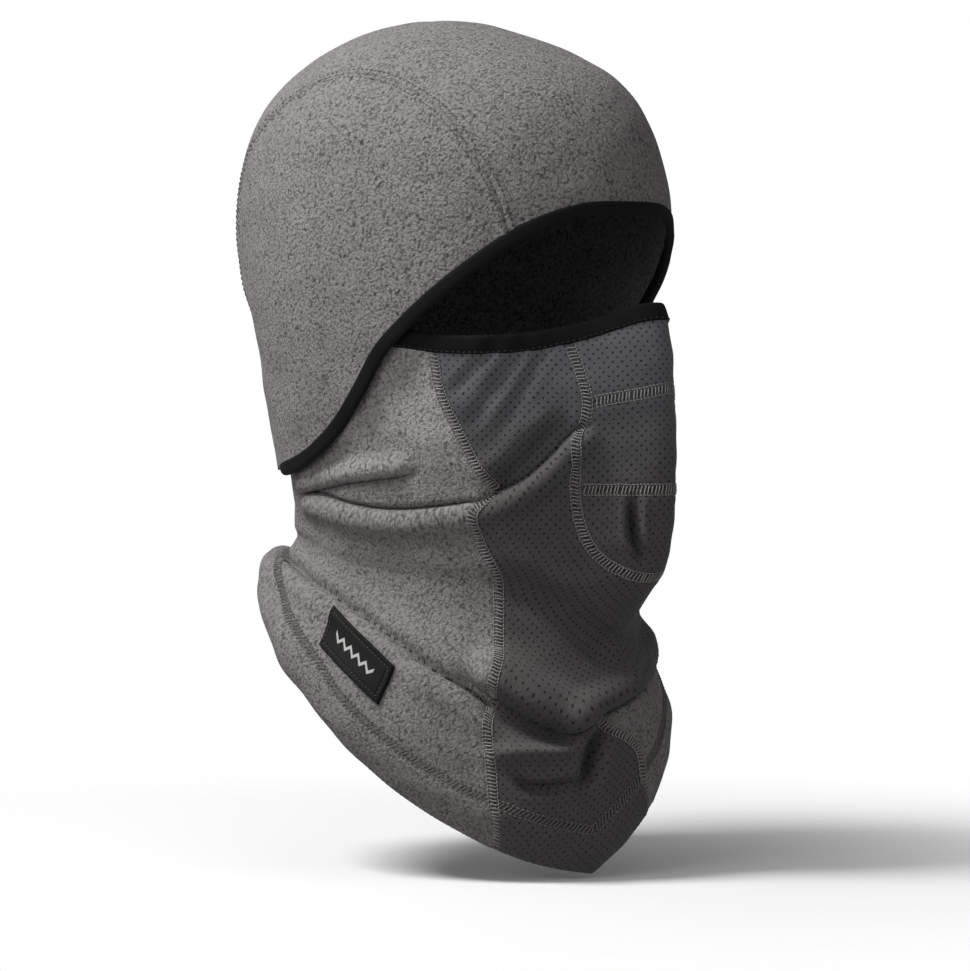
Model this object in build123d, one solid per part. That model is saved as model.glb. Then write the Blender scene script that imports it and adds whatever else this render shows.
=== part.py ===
from build123d import *
import os
from math import cos, exp, hypot, pi, sin

# Millimetres. Origin midway between the wearer's ears, +Z up, the wearer faces -Y, the wearer's left is +X.

FABRIC = 2.4                 # thickness of the neck, front and mouth fabric
FLEECE = 2.6                 # thickness of the hood fleece
BINDING_WIDTH = 8.0          # both edge bindings
BINDING_PROUD = 0.9          # how far a binding stands out of the fabric it folds over
BINDING_UNDER = 0.2          # how far it stands in behind the fabric
THREAD_LIFT = 0.1            # gap between a stitch row and the fabric under it
MASK_THREAD_LIFT = 0.4       # the same where the fabric under it belongs to another moving part
THREAD_THICK = 0.5           # thickness of a stitch row
SEAM_WIDTH = 5.0             # width of a ladder seam
BODY_GAP = 0.3               # between parts that move separately
PANEL_GAP = 0.1              # between panels that move together
HEM_DEPTH = 18.0             # hem edge to the hem stitching
HEM_STITCH_WIDTH = 4.0
APEX_Y = 10.0                # crown of the hood
APEX_Z = 128.0
SECTION_POINTS = 40
LABEL_LENGTH = 37.0
LABEL_WIDTH = 18.0
LABEL_THICK = 0.8
LABEL_BORDER = 2.2           # label edge to its sewing line
LABEL_CENTRE = (-17.0, -141.0)      # y, z
LABEL_SLOPE = 42.0           # degrees, falling towards the front

# One row per cross-section: height, slope with y, half width, reach to the front, reach to the back,
# nose and chin ridge, half width of that ridge.
NECK_ROWS = [
    (25, 0.00, 77.0, 96, 88, 10, 14),
    (8, 0.00, 77.0, 98, 87, 16, 15),
    (-12, 0.00, 75.8, 101, 83, 19, 17),
    (-35, 0.00, 73.0, 102, 77, 19, 19),
    (-60, 0.03, 69.0, 101, 73, 19, 21),
    (-80, 0.08, 66.0, 99, 71, 20, 23),
    (-94, 0.13, 63.5, 95, 70, 16, 23),
    (-103, 0.20, 61.0, 91, 70, 7, 22),
    (-112, 0.27, 63.0, 92, 72, 0, 22),
    (-126, 0.36, 74.0, 100, 77, 0, 22),
    (-143, 0.46, 84.5, 104, 86, 0, 22),
    (-161, 0.55, 86.0, 103, 88, 0, 22),
    (-182, 0.63, 82.0, 97, 84, 0, 22),
]
HOOD_ROWS = [
    (127.4, 0, 13.0, 7, 27, 0, 20),
    (123, 0, 29.0, 26, 45, 0, 20),
    (115, 0, 46.0, 49, 63, 0, 20),
    (100, 0, 63.3, 76, 83, 0, 20),
    (80, 0, 75.4, 92, 97, 0, 20),
    (56, 0, 80.5, 100, 103, 0, 20),
    (30, 0, 82.0, 101, 100, 0, 20),
    (8, 0, 82.0, 101, 95, 0, 20),
    (-15, 0, 80.5, 100, 87, 0, 20),
    (-35, 0, 78.0, 97, 82, 0, 20),
    (-50, 0, 75.0, 93, 79.5, 0, 20),
    (-66, 0, 72.5, 90, 77.5, 0, 20),
    (-80, 0, 71.5, 88, 77, 0, 20),
]

# Curves in the side view (y, z), from the face to the nape.
HOOD_EDGE = [(-115, 46.6), (-100, 46.6), (-92, 43.5), (-81, 36), (-69, 25.5), (-55, 13), (-41, 0), (-28, -13),
             (-17, -28.5), (-4, -43), (12, -54), (29, -60.5), (50, -64)]
MASK_EDGE = [(-135, 2), (-122, 4), (-112, 3), (-103, -1), (-93, -5.5), (-82, -8.8), (-67, -10), (-50, -9.5),
             (-35, -7.5), (-22, -8), (-8, -13), (5, -24), (18, -37), (32, -47), (48, -52)]
HEM_EDGE = [(-135, -243), (-97, -232), (-60, -213), (-30, -194), (-1, -172), (16, -156), (36, -141), (60, -124),
            (100, -110)]
NAPE_HOOD_Z = -64.0          # lower edge of the hood at the nape
NAPE_NECK_Z = -54.0          # upper edge of the neck fabric, tucked inside the hood
BACK_SEAM_DROP = 2.0         # hood's lower edge down to the visible end of the centre-back seam

# Curves in the front view (x, z), from the top down.
FRONT_RIGHT = [(-70, 30), (-68, 0), (-67, -12), (-65.6, -26), (-61.5, -43), (-56, -60), (-51.5, -76), (-50, -92),
               (-46, -112), (-47, -133), (-54, -153), (-58.5, -170), (-60, -190), (-58, -212), (-56, -250)]
FRONT_LEFT = [(70, 30), (68, 0), (67, -12), (65.6, -26), (61.5, -43), (56, -60), (51.5, -76), (50, -92),
              (46, -112), (38, -133), (20, -152), (7, -168), (3, -182), (6, -196), (14, -211), (24, -250)]
MOUTH_SIDE = [(-32, 20), (-31, -6), (-28, -21), (-26, -33), (-27, -45), (-28.7, -57), (-29, -70), (-27.7, -82),
              (-24.2, -93), (-18, -101), (-9, -105.8), (0, -107)]
MOUTH_UPPER = [(-45, -40), (-25, -34), (-10, -30), (0, -28), (10, -30), (25, -34), (45, -40)]
MOUTH_LOWER = [(-45, -70), (-15, -70), (15, -70), (45, -70)]
HOOD_SEAM = [(-40, 140), (-57, 116), (-60.5, 100), (-60.5, 87), (-59, 70), (-55.5, 56), (-53, 42), (-50, 20),
             (-45, -20), (-41, -62), (-40, -90)]
LIFT_LINE = [(-120, -319.5), (120, -115.5)]  # the wearer's left side of the hem rides up above this line

END_EXTRA = 4.0              # how much further an inner shape runs out of the end of its outer one
FAR = 200.0                  # reach of the cutting shapes


def mirrored(points):
    """The same curve on the other side of x = 0, reversed so that the two join up."""
    return [(-x, z) for x, z in reversed(points)]


def moved(points, distance):
    """The curve moved sideways, to the left of its own direction when distance is positive."""
    result = []
    for i, (a, b) in enumerate(points):
        before = points[max(i - 1, 0)]
        after = points[min(i + 1, len(points) - 1)]
        along_a = after[0] - before[0]
        along_b = after[1] - before[1]
        length = hypot(along_a, along_b)
        result.append((a - distance * along_b / length, b + distance * along_a / length))
    return result


def ring(row, grow):
    """One closed cross-section of the worn shape, grown outwards all round."""
    height, slope, half, front, back, ridge, spread = row
    if height > 0:
        height = height * (1 + grow / APEX_Z)
    points = []
    for i in range(SECTION_POINTS):
        turn = 2 * pi * (i / SECTION_POINTS + 0.5)
        x = (half + grow) * sin(turn)
        reach = (front if cos(turn) > 0 else back) + grow
        y = -reach * cos(turn)
        if cos(turn) > 0:
            y -= ridge * exp(-(x / spread) ** 2)
        points.append((x, y, height + slope * y))
    steps = [i / SECTION_POINTS for i in range(SECTION_POINTS + 1)]
    return Wire([Edge.make_spline(points, periodic=True, parameters=steps)])


def with_midpoints(rows):
    """The same rows with one more between each pair, on a smooth curve through the neighbours."""
    result = []
    for i in range(len(rows) - 1):
        here, following = rows[i], rows[i + 1]
        before = rows[i - 1] if i > 0 else [2 * a - b for a, b in zip(here, following)]
        after = rows[i + 2] if i + 2 < len(rows) else [2 * b - a for a, b in zip(here, following)]
        result.append(here)
        result.append([(9 * a + 9 * b - c - d) / 16 for a, b, c, d in zip(here, following, before, after)])
    result.append(rows[-1])
    return result


def neck_form(grow, longer=0.0):
    """The worn neck and mask as one solid, its open ends carried on by the extra length."""
    first = (NECK_ROWS[0][0] + longer,) + NECK_ROWS[0][1:]
    last = (NECK_ROWS[-1][0] - longer,) + NECK_ROWS[-1][1:]
    rows = with_midpoints([first] + NECK_ROWS[1:-1] + [last])
    return Solid.make_loft([ring(row, grow) for row in rows])


def hood_form(grow, longer=0.0):
    """The worn hood as one solid, its open lower end carried on by the extra length."""
    last = (HOOD_ROWS[-1][0] - longer,) + HOOD_ROWS[-1][1:]
    crown = Vertex(0, APEX_Y, APEX_Z + grow)
    rows = with_midpoints(HOOD_ROWS[:-1] + [last])
    return Solid.make_loft([crown] + [ring(row, grow) for row in rows])


def skin(form, outside, inside, *regions):
    """The part of a skin, between two growths of the same shape, that lies in every region."""
    piece = form(outside)
    for region in regions:
        piece = piece & region
    return piece - form(inside, END_EXTRA)


def swept_face(curves, low, high, across):
    """A block: the area enclosed by the curves in one view, drawn out across the other direction."""
    lift = (lambda a, b: (low, a, b)) if across == "x" else (lambda a, b: (a, low, b))
    edges = []
    for i, curve in enumerate(curves):
        edges.append(Edge.make_spline([lift(*p) for p in curve]) if len(curve) > 2
                     else Edge.make_line(lift(*curve[0]), lift(*curve[1])))
        following = curves[(i + 1) % len(curves)]
        if hypot(curve[-1][0] - following[0][0], curve[-1][1] - following[0][1]) > 1e-6:
            edges.append(Edge.make_line(lift(*curve[-1]), lift(*following[0])))
    direction = (high - low, 0, 0) if across == "x" else (0, high - low, 0)
    return Solid.extrude(Face(Wire(edges)), Vector(direction))


def side_block(*curves):
    return swept_face(curves, -FAR, FAR, "x")


def front_block(*curves, back=FAR):
    return swept_face(curves, -FAR, back, "y")


def side_strip(curve, one, other):
    """A strip along a side-view curve, between two sideways distances from it."""
    return side_block(moved(curve, one), list(reversed(moved(curve, other))))


def front_strip(curve, one, other, back=FAR):
    return front_block(moved(curve, one), list(reversed(moved(curve, other))), back=back)


def above_hem(rise):
    """Everything above the hem edge in the side view, or above a line parallel to it."""
    hem = moved(HEM_EDGE, rise)
    return side_block(hem, [(hem[-1][0], FAR), (hem[0][0], FAR)])


def above_lift(rise):
    """Everything above the raised left part of the hem, or above a line parallel to it."""
    lift = moved(LIFT_LINE, rise)
    return front_block(lift, [(lift[-1][0], FAR), (lift[0][0], FAR)])


def below_mask_edge(gap):
    edge = moved(MASK_EDGE, -BINDING_WIDTH / 2 - gap)
    nape = [(64.0, NAPE_NECK_Z), (120.0, NAPE_NECK_Z)]
    return side_block(edge, nape, [(120.0, -260.0), (edge[0][0], -260.0)])


def above_hood_edge(gap):
    edge = moved(HOOD_EDGE, BINDING_WIDTH / 2 + gap)
    nape = [(58.0, NAPE_HOOD_Z), (120.0, NAPE_HOOD_Z)]
    return side_block(edge, nape, [(120.0, FAR), (edge[0][0], FAR)])


def front_area(grow):
    """The dark front panel seen from the front, out to both of its seams."""
    right = moved(FRONT_RIGHT, -grow)
    left = list(reversed(moved(FRONT_LEFT, grow)))
    return front_block(right, left, back=-5.0)


def mouth_area(grow):
    """The mouth panel seen from the front."""
    half = moved(MOUTH_SIDE, -grow)[:-1]
    bottom = [(0.0, MOUTH_SIDE[-1][1] - grow)]
    return front_block(half + bottom + mirrored(half), back=-5.0)


def hood_middle(grow):
    """The strip of hood between its two long seams, seen from the front."""
    seam = moved(HOOD_SEAM, -grow)
    return front_block(seam, mirrored(seam))


def half_space(side, gap=0.0):
    """Everything on one side of the middle: side is +1 for the wearer's left, -1 for the right."""
    return Pos(side * (FAR + gap), 0, 0) * Box(2 * FAR, 2 * FAR, 3 * FAR)


def hood_parts():
    above = above_hood_edge(PANEL_GAP)
    fabric = skin(hood_form, 0, -FLEECE, above)
    outside = fabric - hood_middle(PANEL_GAP / 2)
    lift = THREAD_LIFT
    top = THREAD_LIFT + THREAD_THICK
    low = NAPE_HOOD_Z + 1
    nape_strip = side_block([(62.0, low), (120.0, low)], [(120.0, low + SEAM_WIDTH), (62.0, low + SEAM_WIDTH)])
    over_nape = side_block([(-120, low + SEAM_WIDTH + PANEL_GAP), (120, low + SEAM_WIDTH + PANEL_GAP)],
                           [(120, FAR), (-120, FAR)])
    right_seam = front_strip(HOOD_SEAM, -SEAM_WIDTH / 2, SEAM_WIDTH / 2)
    left_seam = front_strip(mirrored(HOOD_SEAM), -SEAM_WIDTH / 2, SEAM_WIDTH / 2)
    edge_strip = side_strip(HOOD_EDGE, -BINDING_WIDTH / 2, BINDING_WIDTH / 2)
    return {
        "hood_centre_panel": fabric & hood_middle(-PANEL_GAP / 2),
        "hood_side_panel_right": outside & half_space(-1),
        "hood_side_panel_left": outside & half_space(1),
        "hood_seam_stitch_right": skin(hood_form, top, lift, right_seam, above, over_nape),
        "hood_seam_stitch_left": skin(hood_form, top, lift, left_seam, above, over_nape),
        "hood_edge_binding": skin(hood_form, BINDING_PROUD, -FLEECE - BINDING_UNDER, edge_strip),
        "nape_seam_stitch": skin(hood_form, top, lift, nape_strip),
    }


def mask_parts():
    below = below_mask_edge(BODY_GAP)
    fabric = skin(neck_form, 0, -FABRIC, below, mouth_area(-BODY_GAP / 2))
    upper = moved(MOUTH_UPPER, PANEL_GAP / 2)
    upper_under = moved(MOUTH_UPPER, -PANEL_GAP / 2)
    lower = moved(MOUTH_LOWER, PANEL_GAP / 2)
    lower_under = moved(MOUTH_LOWER, -PANEL_GAP / 2)
    lift = MASK_THREAD_LIFT
    top = MASK_THREAD_LIFT + THREAD_THICK
    inner_area = mouth_area(-SEAM_WIDTH / 2 - PANEL_GAP)
    outline = skin(neck_form, top, lift, below, mouth_area(SEAM_WIDTH / 2))
    upper_row = front_strip(MOUTH_UPPER, -SEAM_WIDTH / 2, SEAM_WIDTH / 2, -5.0)
    lower_row = front_strip(MOUTH_LOWER, -SEAM_WIDTH / 2, SEAM_WIDTH / 2, -5.0)
    edge_strip = side_strip(MASK_EDGE, -BINDING_WIDTH / 2, BINDING_WIDTH / 2)
    row = side_strip(MASK_EDGE, -BINDING_WIDTH / 2 + 0.5, -BINDING_WIDTH / 2 + 2.0)
    row_lift = BINDING_PROUD + THREAD_LIFT
    return {
        "mouth_panel_upper": fabric & front_block(upper, [(45, 60), (-45, 60)], back=-5.0),
        "mouth_panel_middle": fabric & front_block(upper_under, list(reversed(lower)), back=-5.0),
        "mouth_panel_lower": fabric & front_block(lower_under, [(45, -150), (-45, -150)], back=-5.0),
        "mouth_seam_upper": skin(neck_form, top, lift, inner_area, upper_row),
        "mouth_seam_lower": skin(neck_form, top, lift, inner_area, lower_row),
        "mouth_outline_stitch": outline - mouth_area(-SEAM_WIDTH / 2),
        "mask_edge_binding": skin(neck_form, BINDING_PROUD, -FABRIC - BINDING_UNDER, edge_strip),
        "mask_binding_stitch": skin(neck_form, row_lift + THREAD_THICK, row_lift, row),
    }


def label_block(border):
    """The label's rectangle in the side view, less a border, drawn out to the wearer's right."""
    turn = LABEL_SLOPE * pi / 180
    corners = []
    for a, b in ((1, 1), (-1, 1), (-1, -1), (1, -1)):
        along = a * (LABEL_LENGTH / 2 - border)
        up = b * (LABEL_WIDTH / 2 - border)
        corners.append((LABEL_CENTRE[0] + along * cos(turn) - up * sin(turn),
                        LABEL_CENTRE[1] + along * sin(turn) + up * cos(turn)))
    return swept_face([corners[:2], corners[2:]], -FAR, -5.0, "x")


def hem_row_parts(lift, top):
    """The hem stitching: the band between two lines parallel to the hem, in two joined lengths."""
    band = skin(neck_form, top, lift, above_hem(HEM_DEPTH), above_lift(HEM_DEPTH))
    upper = HEM_DEPTH + HEM_STITCH_WIDTH
    return (band - above_hem(upper)) + ((band & above_hem(upper)) - above_lift(upper))


def collar_parts():
    """The neck fabric, the front panel and everything sewn to them."""
    below = below_mask_edge(BODY_GAP)
    fabric = skin(neck_form, 0, -FABRIC, below, above_hem(0), above_lift(0))
    lift = THREAD_LIFT
    top = THREAD_LIFT + THREAD_THICK
    right = front_strip(FRONT_RIGHT, -SEAM_WIDTH / 2, SEAM_WIDTH / 2, -5.0)
    left = front_strip(FRONT_LEFT, -SEAM_WIDTH / 2, SEAM_WIDTH / 2, -5.0)
    over = HEM_DEPTH + HEM_STITCH_WIDTH + PANEL_GAP
    label_top = lift + LABEL_THICK
    sewing = skin(neck_form, label_top + lift + THREAD_THICK, label_top + lift, label_block(LABEL_BORDER))
    neck = fabric - front_area(PANEL_GAP)
    back_row = Pos(0, FAR / 2, NAPE_HOOD_Z - BACK_SEAM_DROP - FAR / 2) * Box(SEAM_WIDTH, FAR, FAR)
    return {
        "neck_panel_right": neck & half_space(-1, PANEL_GAP / 2),
        "neck_panel_left": neck & half_space(1, PANEL_GAP / 2),
        "back_seam_stitch": skin(neck_form, top, lift, back_row, above_hem(over)),
        "front_panel": (fabric & front_area(0)) - mouth_area(BODY_GAP / 2),
        "front_seam_stitch_right": skin(neck_form, top, lift, right, below, above_hem(over)),
        "front_seam_stitch_left": skin(neck_form, top, lift, left, below, above_lift(over)),
        "hem_stitch": hem_row_parts(lift, top),
        "collar_label": skin(neck_form, label_top, lift, label_block(0)),
        "label_stitch": sewing - label_block(LABEL_BORDER + 1.0),
    }


def main():
    os.makedirs("parts", exist_ok=True)
    parts = {}
    parts.update(hood_parts())
    parts.update(mask_parts())
    parts.update(collar_parts())
    for name, shape in parts.items():
        solids = shape.solids()
        box = shape.bounding_box()
        print(name, len(solids), "solids", round(sum(s.volume for s in solids)),
              [round(v) for v in (box.min.X, box.max.X, box.min.Y, box.max.Y, box.min.Z, box.max.Z)], flush=True)
        export_step(shape, f"parts/{name}.step")


main()
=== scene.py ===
import math

import bpy
import numpy as np
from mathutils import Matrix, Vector, geometry
from mathutils.bvhtree import BVHTree
from mathutils.kdtree import KDTree


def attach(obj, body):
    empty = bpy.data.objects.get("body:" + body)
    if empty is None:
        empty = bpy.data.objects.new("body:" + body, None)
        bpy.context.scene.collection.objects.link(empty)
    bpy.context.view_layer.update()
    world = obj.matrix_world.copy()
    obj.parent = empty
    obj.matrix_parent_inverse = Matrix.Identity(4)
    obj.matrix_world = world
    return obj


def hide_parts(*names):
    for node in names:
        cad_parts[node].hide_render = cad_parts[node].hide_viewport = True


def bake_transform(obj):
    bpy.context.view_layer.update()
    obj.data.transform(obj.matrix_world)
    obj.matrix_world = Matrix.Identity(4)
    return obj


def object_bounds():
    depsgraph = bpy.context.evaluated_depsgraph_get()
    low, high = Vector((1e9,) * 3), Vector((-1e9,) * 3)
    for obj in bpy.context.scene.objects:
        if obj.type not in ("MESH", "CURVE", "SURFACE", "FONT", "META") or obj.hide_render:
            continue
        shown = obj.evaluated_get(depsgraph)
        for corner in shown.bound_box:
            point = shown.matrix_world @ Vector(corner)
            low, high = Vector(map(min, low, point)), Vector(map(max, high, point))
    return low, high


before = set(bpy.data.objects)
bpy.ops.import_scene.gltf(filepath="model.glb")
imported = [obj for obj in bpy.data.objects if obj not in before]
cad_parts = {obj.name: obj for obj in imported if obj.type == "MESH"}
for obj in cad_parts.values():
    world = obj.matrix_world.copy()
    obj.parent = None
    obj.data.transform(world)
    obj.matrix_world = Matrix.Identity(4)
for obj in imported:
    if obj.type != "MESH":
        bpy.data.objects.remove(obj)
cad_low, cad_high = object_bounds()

# The looks of the balaclava. Shapes are worked out in millimetres in the part's own frame (origin between
# the wearer's ears, +Z up, the wearer faces -Y, the wearer's left is +X) and stored in metres.

MM = 0.001
NECK_CLOTH = 2.2             # thickness of the shown neck and mask fabric
HOOD_CLOTH = 2.4             # thickness of the shown hood fleece
BINDING_WIDTH = 8.0
HOOD_BINDING_WIDTH = 6.2
BINDING_TAPER = 14.0         # the bindings narrow over this length at their ends
BINDING_TIP = 0.4            # to this share
STRIP_STEP = 1.5
BINDING_PROUD = 0.9          # how far a binding stands out of the fabric
BINDING_UNDER = 0.2          # how far it stands in behind it
HEM_DEPTH = 20.0             # hem edge to the middle of the hem stitching
HEM_TURN = 4.5               # how far the hem edge turns in
SEAM_HALF = 1.9              # half width of a ladder seam
LABEL_LENGTH = 42.0
LABEL_WIDTH = 17.0
LABEL_THICK = 1.2
LABEL_CORNERS = [(-91, -122), (-70, -145.5), (-72.5, -159.5), (-91.5, -136)]      # turn in degrees, z
APEX_Y = 10.0
APEX_Z = 128.0
NECK_SPACING = 1.15          # between the points of the neck and mask fabric
HOOD_SPACING = 2.0

# The worn shape, as in the part. One row per cross-section: height, slope with y, half width, reach to
# the front, reach to the back, nose and chin ridge, half width of that ridge.
NECK_ROWS = np.array([
    (25, 0.00, 77.0, 96, 88, 10, 14),
    (8, 0.00, 77.0, 98, 87, 16, 15),
    (-12, 0.00, 75.8, 101, 83, 19, 17),
    (-35, 0.00, 73.0, 102, 77, 19, 19),
    (-60, 0.03, 69.0, 101, 73, 19, 21),
    (-80, 0.08, 66.0, 99, 71, 20, 23),
    (-94, 0.13, 63.5, 95, 70, 16, 23),
    (-103, 0.20, 61.0, 91, 70, 7, 22),
    (-112, 0.27, 63.0, 92, 72, 0, 22),
    (-126, 0.36, 74.0, 100, 77, 0, 22),
    (-143, 0.46, 84.5, 104, 86, 0, 22),
    (-161, 0.55, 86.0, 103, 88, 0, 22),
    (-182, 0.63, 82.0, 97, 84, 0, 22),
], float)
HOOD_ROWS = np.array([
    (APEX_Z, 0, 0.0, -APEX_Y, APEX_Y, 0, 20),
    (127.4, 0, 13.0, 7, 27, 0, 20),
    (123, 0, 29.0, 26, 45, 0, 20),
    (115, 0, 46.0, 49, 63, 0, 20),
    (100, 0, 63.3, 76, 83, 0, 20),
    (80, 0, 75.4, 92, 97, 0, 20),
    (56, 0, 80.5, 100, 103, 0, 20),
    (30, 0, 82.0, 101, 100, 0, 20),
    (8, 0, 82.0, 101, 95, 0, 20),
    (-15, 0, 80.5, 100, 87, 0, 20),
    (-35, 0, 78.0, 97, 82, 0, 20),
    (-50, 0, 75.0, 93, 79.5, 0, 20),
    (-66, 0, 72.5, 90, 77.5, 0, 20),
    (-80, 0, 71.5, 88, 77, 0, 20),
], float)

# Curves in the side view (y, z).
HOOD_EDGE = [(-115, 46.6), (-100, 46.6), (-92, 43.5), (-81, 36), (-69, 25.5), (-55, 13), (-41, 0), (-28, -13),
             (-17, -28.5), (-4, -43), (12, -54), (29, -60.5), (50, -64)]
HOOD_NAPE = [(64, -64), (110, -64)]
MASK_EDGE = [(-135, 2), (-122, 4), (-112, 3), (-103, -1), (-93, -5.5), (-82, -8.8), (-67, -10), (-50, -9.5),
             (-35, -7.5), (-22, -8), (-8, -13), (5, -24), (18, -37), (32, -47), (48, -52)]
MASK_NAPE = [(64, -54), (110, -54)]
HEM_EDGE = [(-135, -243), (-97, -232), (-60, -213), (-30, -194), (-1, -172), (16, -156), (36, -141), (60, -124),
            (100, -110)]

# Curves in the front view (x, z), from the top down.
FRONT_RIGHT = [(-70, 30), (-67.6, 0), (-64.6, -26), (-60.3, -43), (-54.5, -60.5), (-50, -71), (-51, -76),
               (-53, -82), (-50.5, -93), (-44, -111), (-43.5, -126), (-50, -147), (-57.5, -164), (-59.5, -176),
               (-59, -197), (-56, -218), (-55, -250)]
FRONT_LEFT = [(70, 30), (68, 0), (67, -12), (65.6, -26), (61.5, -43), (56, -60), (51.5, -76), (50, -92), (46, -112),
              (42, -130), (33, -145), (14, -153.5), (-4, -158.5), (-17, -162), (-19, -165), (-13, -170.5), (-4, -175),
              (1, -180), (2.5, -188), (5, -196), (11, -203), (18, -215), (24, -250)]
MOUTH_SIDE = [(-32, 20), (-31, -6), (-28, -21), (-26, -33), (-27, -45), (-28.7, -57), (-29, -70), (-27.7, -82),
              (-24.2, -93), (-18, -101), (-9, -105.8), (0, -107)]
MOUTH_UPPER = [(-45, -40), (-25, -34), (-10, -30), (0, -28), (10, -30), (25, -34), (45, -40)]
MOUTH_LOWER = [(-45, -70), (-15, -70), (15, -70), (45, -70)]
HOOD_SEAM = [(-40, 140), (-57, 116), (-60.5, 100), (-60.5, 87), (-59, 70), (-55.5, 56), (-53, 42), (-50, 20),
             (-45, -20), (-41, -62), (-40, -90)]
OVERHANG_TOP = -131.0        # between these heights the left seam is hidden under the knit that hangs over it
OVERHANG_FOOT = -163.5
LIFT_AT_MIDDLE = -217.5      # the wearer's left of the hem rides up above a line through this height
LIFT_SLOPE = 0.85

HOOD_CENTRE = np.array([0.0, 5.0, 20.0])     # the hood's shape is read off along rays from here

# Folds of the worn neck fabric. Each is a line along the surface, in turn about the neck (degrees from
# the front, minus is the wearer's right) and height, and then a kind, a depth and a width. A "tuck" or an
# "roll" brings the fabric on the left of the line, seen from outside, over the fabric on its right.
FOLDS = [
    ([(-130, -75), (-117, -72), (-100, -68.7), (-83, -65.2), (-66, -62)], "tuck", 3.4, 4.5),
    ([(-46, -76), (-54, -78.2), (-65, -80.6), (-77, -82), (-93, -79.3), (-104, -76.7), (-126, -76)], "tuck", 4.2, 5),
    ([(-40, -162), (-47, -158), (-54, -152), (-62, -145.5), (-74, -133), (-91, -119), (-120, -107), (-132, -104.5),
      (-168, -99)], "roll", 5.0, 7.5),
    ([(-18, -41), (-24, -49), (-32, -61), (-40, -70), (-53, -78)], "tuck", 4.6, 5.0),
    ([(-52, -76), (-44, -67), (-37, -58), (-31, -49), (-23, -38)], "crease", 4.8, 6.0),
    ([(-11, -68), (-11, -86), (-9, -94), (-4, -104)], "crease", 6.5, 2.6),
    ([(-49, -102), (-40, -110), (-24, -122), (-11, -135.6), (2, -148)], "crease", 3.6, 7.0),
    ([(-56, -142), (-45, -150), (-33, -160), (-24, -165.5), (-13, -171)], "tuck", 7.4, 8.0),
    ([(-54, -156), (-44, -161), (-34, -168), (-25, -173), (-14, -178)], "crease", 6.4, 6.0),
    ([(-48, -179), (-31, -178.5), (-24, -177), (-19.5, -171), (-16, -158)], "ridge", 7.0, 3.6),
    ([(-13, -166), (-15, -176), (-17, -184), (-20, -198)], "crease", 8.0, 4.2),
    ([(-39, -182), (-36, -190.5), (-31, -193), (-16, -191)], "crease", 6.0, 2.6),
    ([(-60, -36), (-57, -30), (-46, -12), (-42, -4)], "crease", 1.0, 2.8),
    ([(-56, -48), (-52, -41), (-38, -12), (-34, -4)], "crease", 1.2, 3.2),
    ([(-48, -52), (-45, -45), (-31, -12), (-27, -4)], "crease", 1.0, 3.0),
    ([(-26, -168), (-16, -162), (-6, -157.5), (5, -152.5), (18, -147), (32, -140), (46, -130)], "tuck", 6.0, 5.0),
]


# Curves and the two worn surfaces

def smooth(points, steps=12):
    """Close points on a smooth curve through the given ones."""
    p = np.array(points, float)
    padded = np.vstack([2 * p[0] - p[1], p, 2 * p[-1] - p[-2]])
    at = np.linspace(0, len(p) - 1, (len(p) - 1) * steps + 1)
    return between_rows(padded, at, len(p))


def between_rows(padded, at, count):
    """Catmull-Rom interpolation between rows; padded has one extra row at each end."""
    i = np.clip(np.floor(at).astype(int), 0, count - 2)
    f = (at - i)[..., None]
    a, b, c, d = (padded[i + k] for k in range(4))
    return 0.5 * (2 * b + (c - a) * f + (2 * a - 5 * b + 4 * c - d) * f ** 2 + (3 * b - a - 3 * c + d) * f ** 3)


def moved(line, distance):
    """A plane curve moved sideways, to the left of its own direction when distance is positive."""
    along = np.gradient(line, axis=0)
    along /= np.linalg.norm(along, axis=1)[:, None]
    return line + distance * np.stack([-along[:, 1], along[:, 0]], axis=1)


def resampled(line, step):
    """The line with points about one step apart."""
    lengths = np.linalg.norm(np.diff(line, axis=0), axis=1)
    along = np.concatenate([[0], np.cumsum(lengths)])
    at = np.linspace(0, along[-1], max(2, int(round(along[-1] / step)) + 1))
    return np.stack([np.interp(at, along, line[:, k]) for k in range(line.shape[1])], axis=1)


def worn(rows, turn, s):
    """The point of a worn surface at a turn about Z (radians, 0 at the front) and a fractional row s."""
    padded = np.vstack([2 * rows[0] - rows[1], rows, 2 * rows[-1] - rows[-2]])
    row = between_rows(padded, np.asarray(s, float), len(rows))
    height, slope, half, front, back, ridge, spread = np.moveaxis(row, -1, 0)
    forward = np.cos(turn)
    x = half * np.sin(turn)
    y = -np.where(forward > 0, front, back) * forward
    y = y - np.where(forward > 0, ridge * np.exp(-(x / spread) ** 2), 0)
    return np.stack([x, y, height + slope * y], axis=-1)


def unit(v):
    return v / np.maximum(np.linalg.norm(v, axis=-1, keepdims=True), 1e-12)


def first_crossing(values, samples):
    """Along each row of values, where they first turn negative, read off the samples."""
    below = values < 0
    i = np.clip(np.argmax(below, axis=1), 1, values.shape[1] - 1)
    k = np.arange(len(values))
    a, b = values[k, i - 1], values[k, i]
    share = np.clip(a / np.where(np.abs(a - b) < 1e-12, 1, a - b), 0, 1)
    return samples[i - 1] + share * (samples[i] - samples[i - 1])


def edge_row(rows, height_at, turns):
    """For each turn, the fractional row at which the surface goes below an edge."""
    s = np.linspace(0, len(rows) - 1, 900)
    p = worn(rows, turns[:, None], s[None, :])
    return first_crossing(p[..., 2] - height_at(p), s)


def height_function(points, after=()):
    line = np.vstack([smooth(points), np.array(after, float).reshape(-1, 2)])
    return lambda p: np.interp(p[..., 1], line[:, 0], line[:, 1])


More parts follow.
